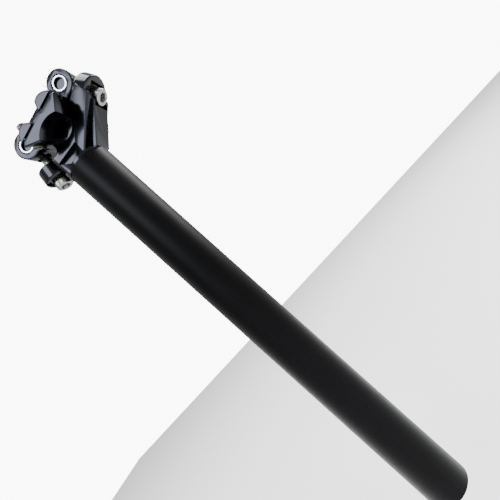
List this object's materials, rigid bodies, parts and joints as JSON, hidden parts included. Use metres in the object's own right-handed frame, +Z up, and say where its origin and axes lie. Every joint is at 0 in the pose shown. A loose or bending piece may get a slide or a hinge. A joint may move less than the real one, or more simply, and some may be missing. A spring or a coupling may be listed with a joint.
{
  "type": "bicycle seatpost",
  "caption": "Rigid bicycle seatpost: straight tube, forged setback head, tilting saddle-rail clamp with barrel nuts, slotted ears and socket-head bolts.",
  "frame": {"origin": "centre of the tube's bottom end", "axes": "+Z up the tube, +X to the front of the bicycle, +Y to its left"},
  "size_m": [0.0704, 0.0524, 0.3291],
  "materials": {
    "satin_black": "bead-blasted black anodised",
    "polished_black": "polished black anodised",
    "nut_black": "polished black anodised, bright turned rim",
    "bolt_steel": "bright stainless",
    "washer_dark": "black oxide"
  },
  "bodies": {
    "post": {"post_tube": "satin_black", "head_yoke": "polished_black"},
    "cradle": {"lower_cradle": "polished_black"},
    "top_clamp": {"upper_clamp": "polished_black"},
    "rear_nut": {"rear_barrel_nut": "nut_black"},
    "front_nut": {"front_barrel_nut": "nut_black"},
    "rear_saddle": {"rear_barrel_washer": "washer_dark"},
    "front_saddle": {"front_barrel_washer": "washer_dark"},
    "rear_washer": {"rear_flat_washer": "washer_dark"},
    "front_washer": {"front_flat_washer": "washer_dark"},
    "rear_bolt": {"rear_clamp_bolt": "bolt_steel"},
    "front_bolt": {"front_clamp_bolt": "bolt_steel"}
  },
  "joints": [
    {"name": "clamp_tilt", "type": "hinge", "parent": "post", "child": "cradle", "pos_m": [-0.0073, 0, 0.2982], "axis": [0, 1, 0], "range_deg": [-1, 15]},
    {"name": "clamp_open", "type": "slide", "parent": "cradle", "child": "top_clamp", "axis": [0.1132, 0, 0.9936], "range_m": [0, 0.002]},
    {"name": "rear_nut_turn", "type": "hinge", "parent": "top_clamp", "child": "rear_nut", "pos_m": [-0.02603, 0, 0.31312], "axis": [0, 1, 0], "range_deg": [-11, 2]},
    {"name": "rear_saddle_rock", "type": "hinge", "parent": "post", "child": "rear_saddle", "pos_m": [-0.03359, 0, 0.29667], "axis": [0, 1, 0], "range_deg": [-2, 7]},
    {"name": "rear_bolt_swing", "type": "hinge", "parent": "rear_saddle", "child": "rear_washer", "pos_m": [-0.03359, 0, 0.29667], "axis": [0, 1, 0], "range_deg": [-3, 1]},
    {"name": "rear_bolt_spin", "type": "hinge", "parent": "rear_washer", "child": "rear_bolt", "pos_m": [-0.03255, 0, 0.29894], "axis": [0.4179, 0, 0.9085], "continuous": true},
    {"name": "front_nut_turn", "type": "hinge", "parent": "top_clamp", "child": "front_nut", "pos_m": [0.01431, 0, 0.30852], "axis": [0, 1, 0], "range_deg": [-14, 2]},
    {"name": "front_saddle_rock", "type": "hinge", "parent": "post", "child": "front_saddle", "pos_m": [0.01944, 0, 0.28375], "axis": [0, 1, 0], "range_deg": [-2, 4]},
    {"name": "front_bolt_swing", "type": "hinge", "parent": "front_saddle", "child": "front_washer", "pos_m": [0.01944, 0, 0.28375], "axis": [0, 1, 0], "range_deg": [-1, 3]},
    {"name": "front_bolt_spin", "type": "hinge", "parent": "front_washer", "child": "front_bolt", "pos_m": [0.01893, 0, 0.28619], "axis": [-0.2028, 0, 0.9792], "continuous": true}
  ],
  "couplings": [
    {"joint": "rear_nut_turn", "follows": "clamp_tilt", "ratio": -0.645},
    {"joint": "rear_saddle_rock", "follows": "clamp_tilt", "ratio": 0.355},
    {"joint": "rear_bolt_swing", "follows": "clamp_open", "rad_per_m": -11},
    {"joint": "front_nut_turn", "follows": "clamp_tilt", "ratio": -0.848},
    {"joint": "front_saddle_rock", "follows": "clamp_tilt", "ratio": 0.152},
    {"joint": "front_bolt_swing", "follows": "clamp_open", "rad_per_m": 15}
  ]
}
